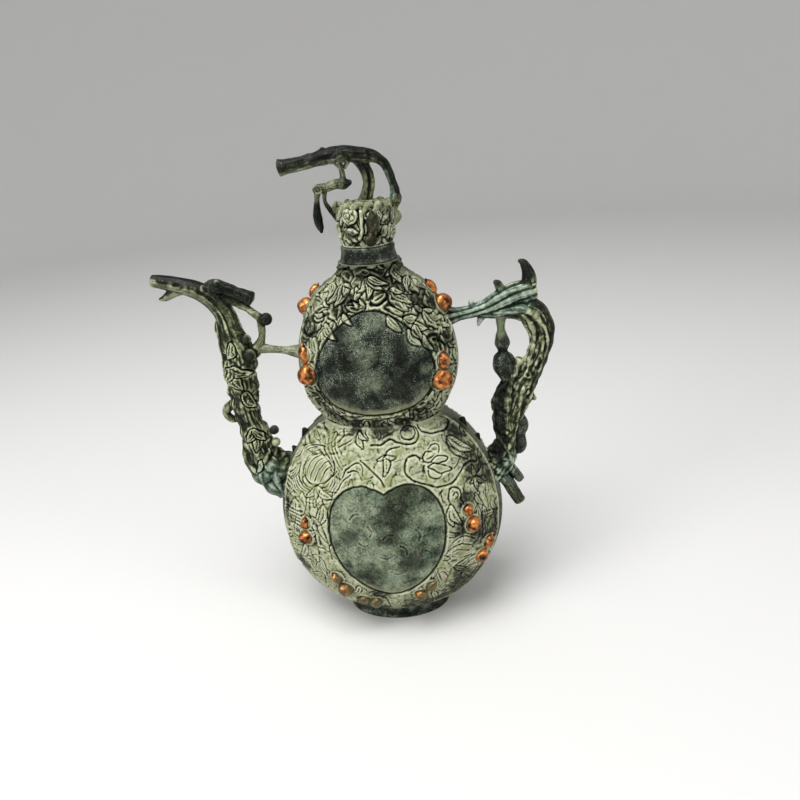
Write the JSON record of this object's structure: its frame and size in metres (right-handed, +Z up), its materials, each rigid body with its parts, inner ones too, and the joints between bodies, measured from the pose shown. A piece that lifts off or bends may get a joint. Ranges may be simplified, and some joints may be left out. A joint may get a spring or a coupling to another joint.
{
  "type": "double gourd ewer",
  "caption": "Small cast metal ewer with an oval double gourd body, branch spout, branch handle and a lift-off lid topped by a bent branch.",
  "frame": {"origin": "centre of the foot, on the flat underside of the base plate", "axes": "+Z up along the body, +X towards the handle, -X towards the spout, -Y towards the front with its two bare panels"},
  "size_m": [0.1857, 0.0754, 0.2366],
  "materials": {
    "carved_bronze": "cast relief with pale verdigris on the crests and dark recesses",
    "dark_bronze": "smooth dark patina",
    "branch_bronze": "knotted cast bark, dark olive patina with pale rubbed edges",
    "pale_bronze": "matte pale green patina",
    "gilt_bronze": "gilded and rubbed bright"
  },
  "bodies": {
    "vessel": {"front_shell": "carved_bronze", "back_shell": "carved_bronze", "foot_ring": "dark_bronze", "base_plate": "dark_bronze", "neck_collar": "dark_bronze", "spout": "branch_bronze", "spout_brace": "pale_bronze", "handle": "branch_bronze", "handle_pendant_gourd": "dark_bronze", "handle_gourd_pair": "dark_bronze", "gilt_gourd_front_1": "gilt_bronze", "gilt_gourd_front_2": "gilt_bronze", "gilt_gourd_front_3": "gilt_bronze", "gilt_gourd_front_4": "gilt_bronze", "gilt_gourd_front_5": "gilt_bronze", "gilt_gourd_front_6": "gilt_bronze", "gilt_gourd_front_7": "gilt_bronze", "gilt_gourd_front_8": "gilt_bronze", "gilt_gourd_front_9": "gilt_bronze", "gilt_gourd_back_1": "gilt_bronze", "gilt_gourd_back_2": "gilt_bronze", "gilt_gourd_back_3": "gilt_bronze", "gilt_gourd_back_4": "gilt_bronze", "gilt_gourd_back_5": "gilt_bronze", "gilt_gourd_back_6": "gilt_bronze", "gilt_gourd_back_7": "gilt_bronze", "gilt_gourd_back_8": "gilt_bronze", "gilt_gourd_back_9": "gilt_bronze"},
    "lid": {"lid_cup": "carved_bronze", "lid_plug": "dark_bronze", "lid_finial": "branch_bronze", "finial_tendril": "branch_bronze", "lid_gourd_pair": "dark_bronze"}
  },
  "joints": [
    {"name": "lid_lift", "type": "slide", "parent": "vessel", "child": "lid", "axis": [0, 0, 1], "range_m": [0, 0.045]}
  ]
}
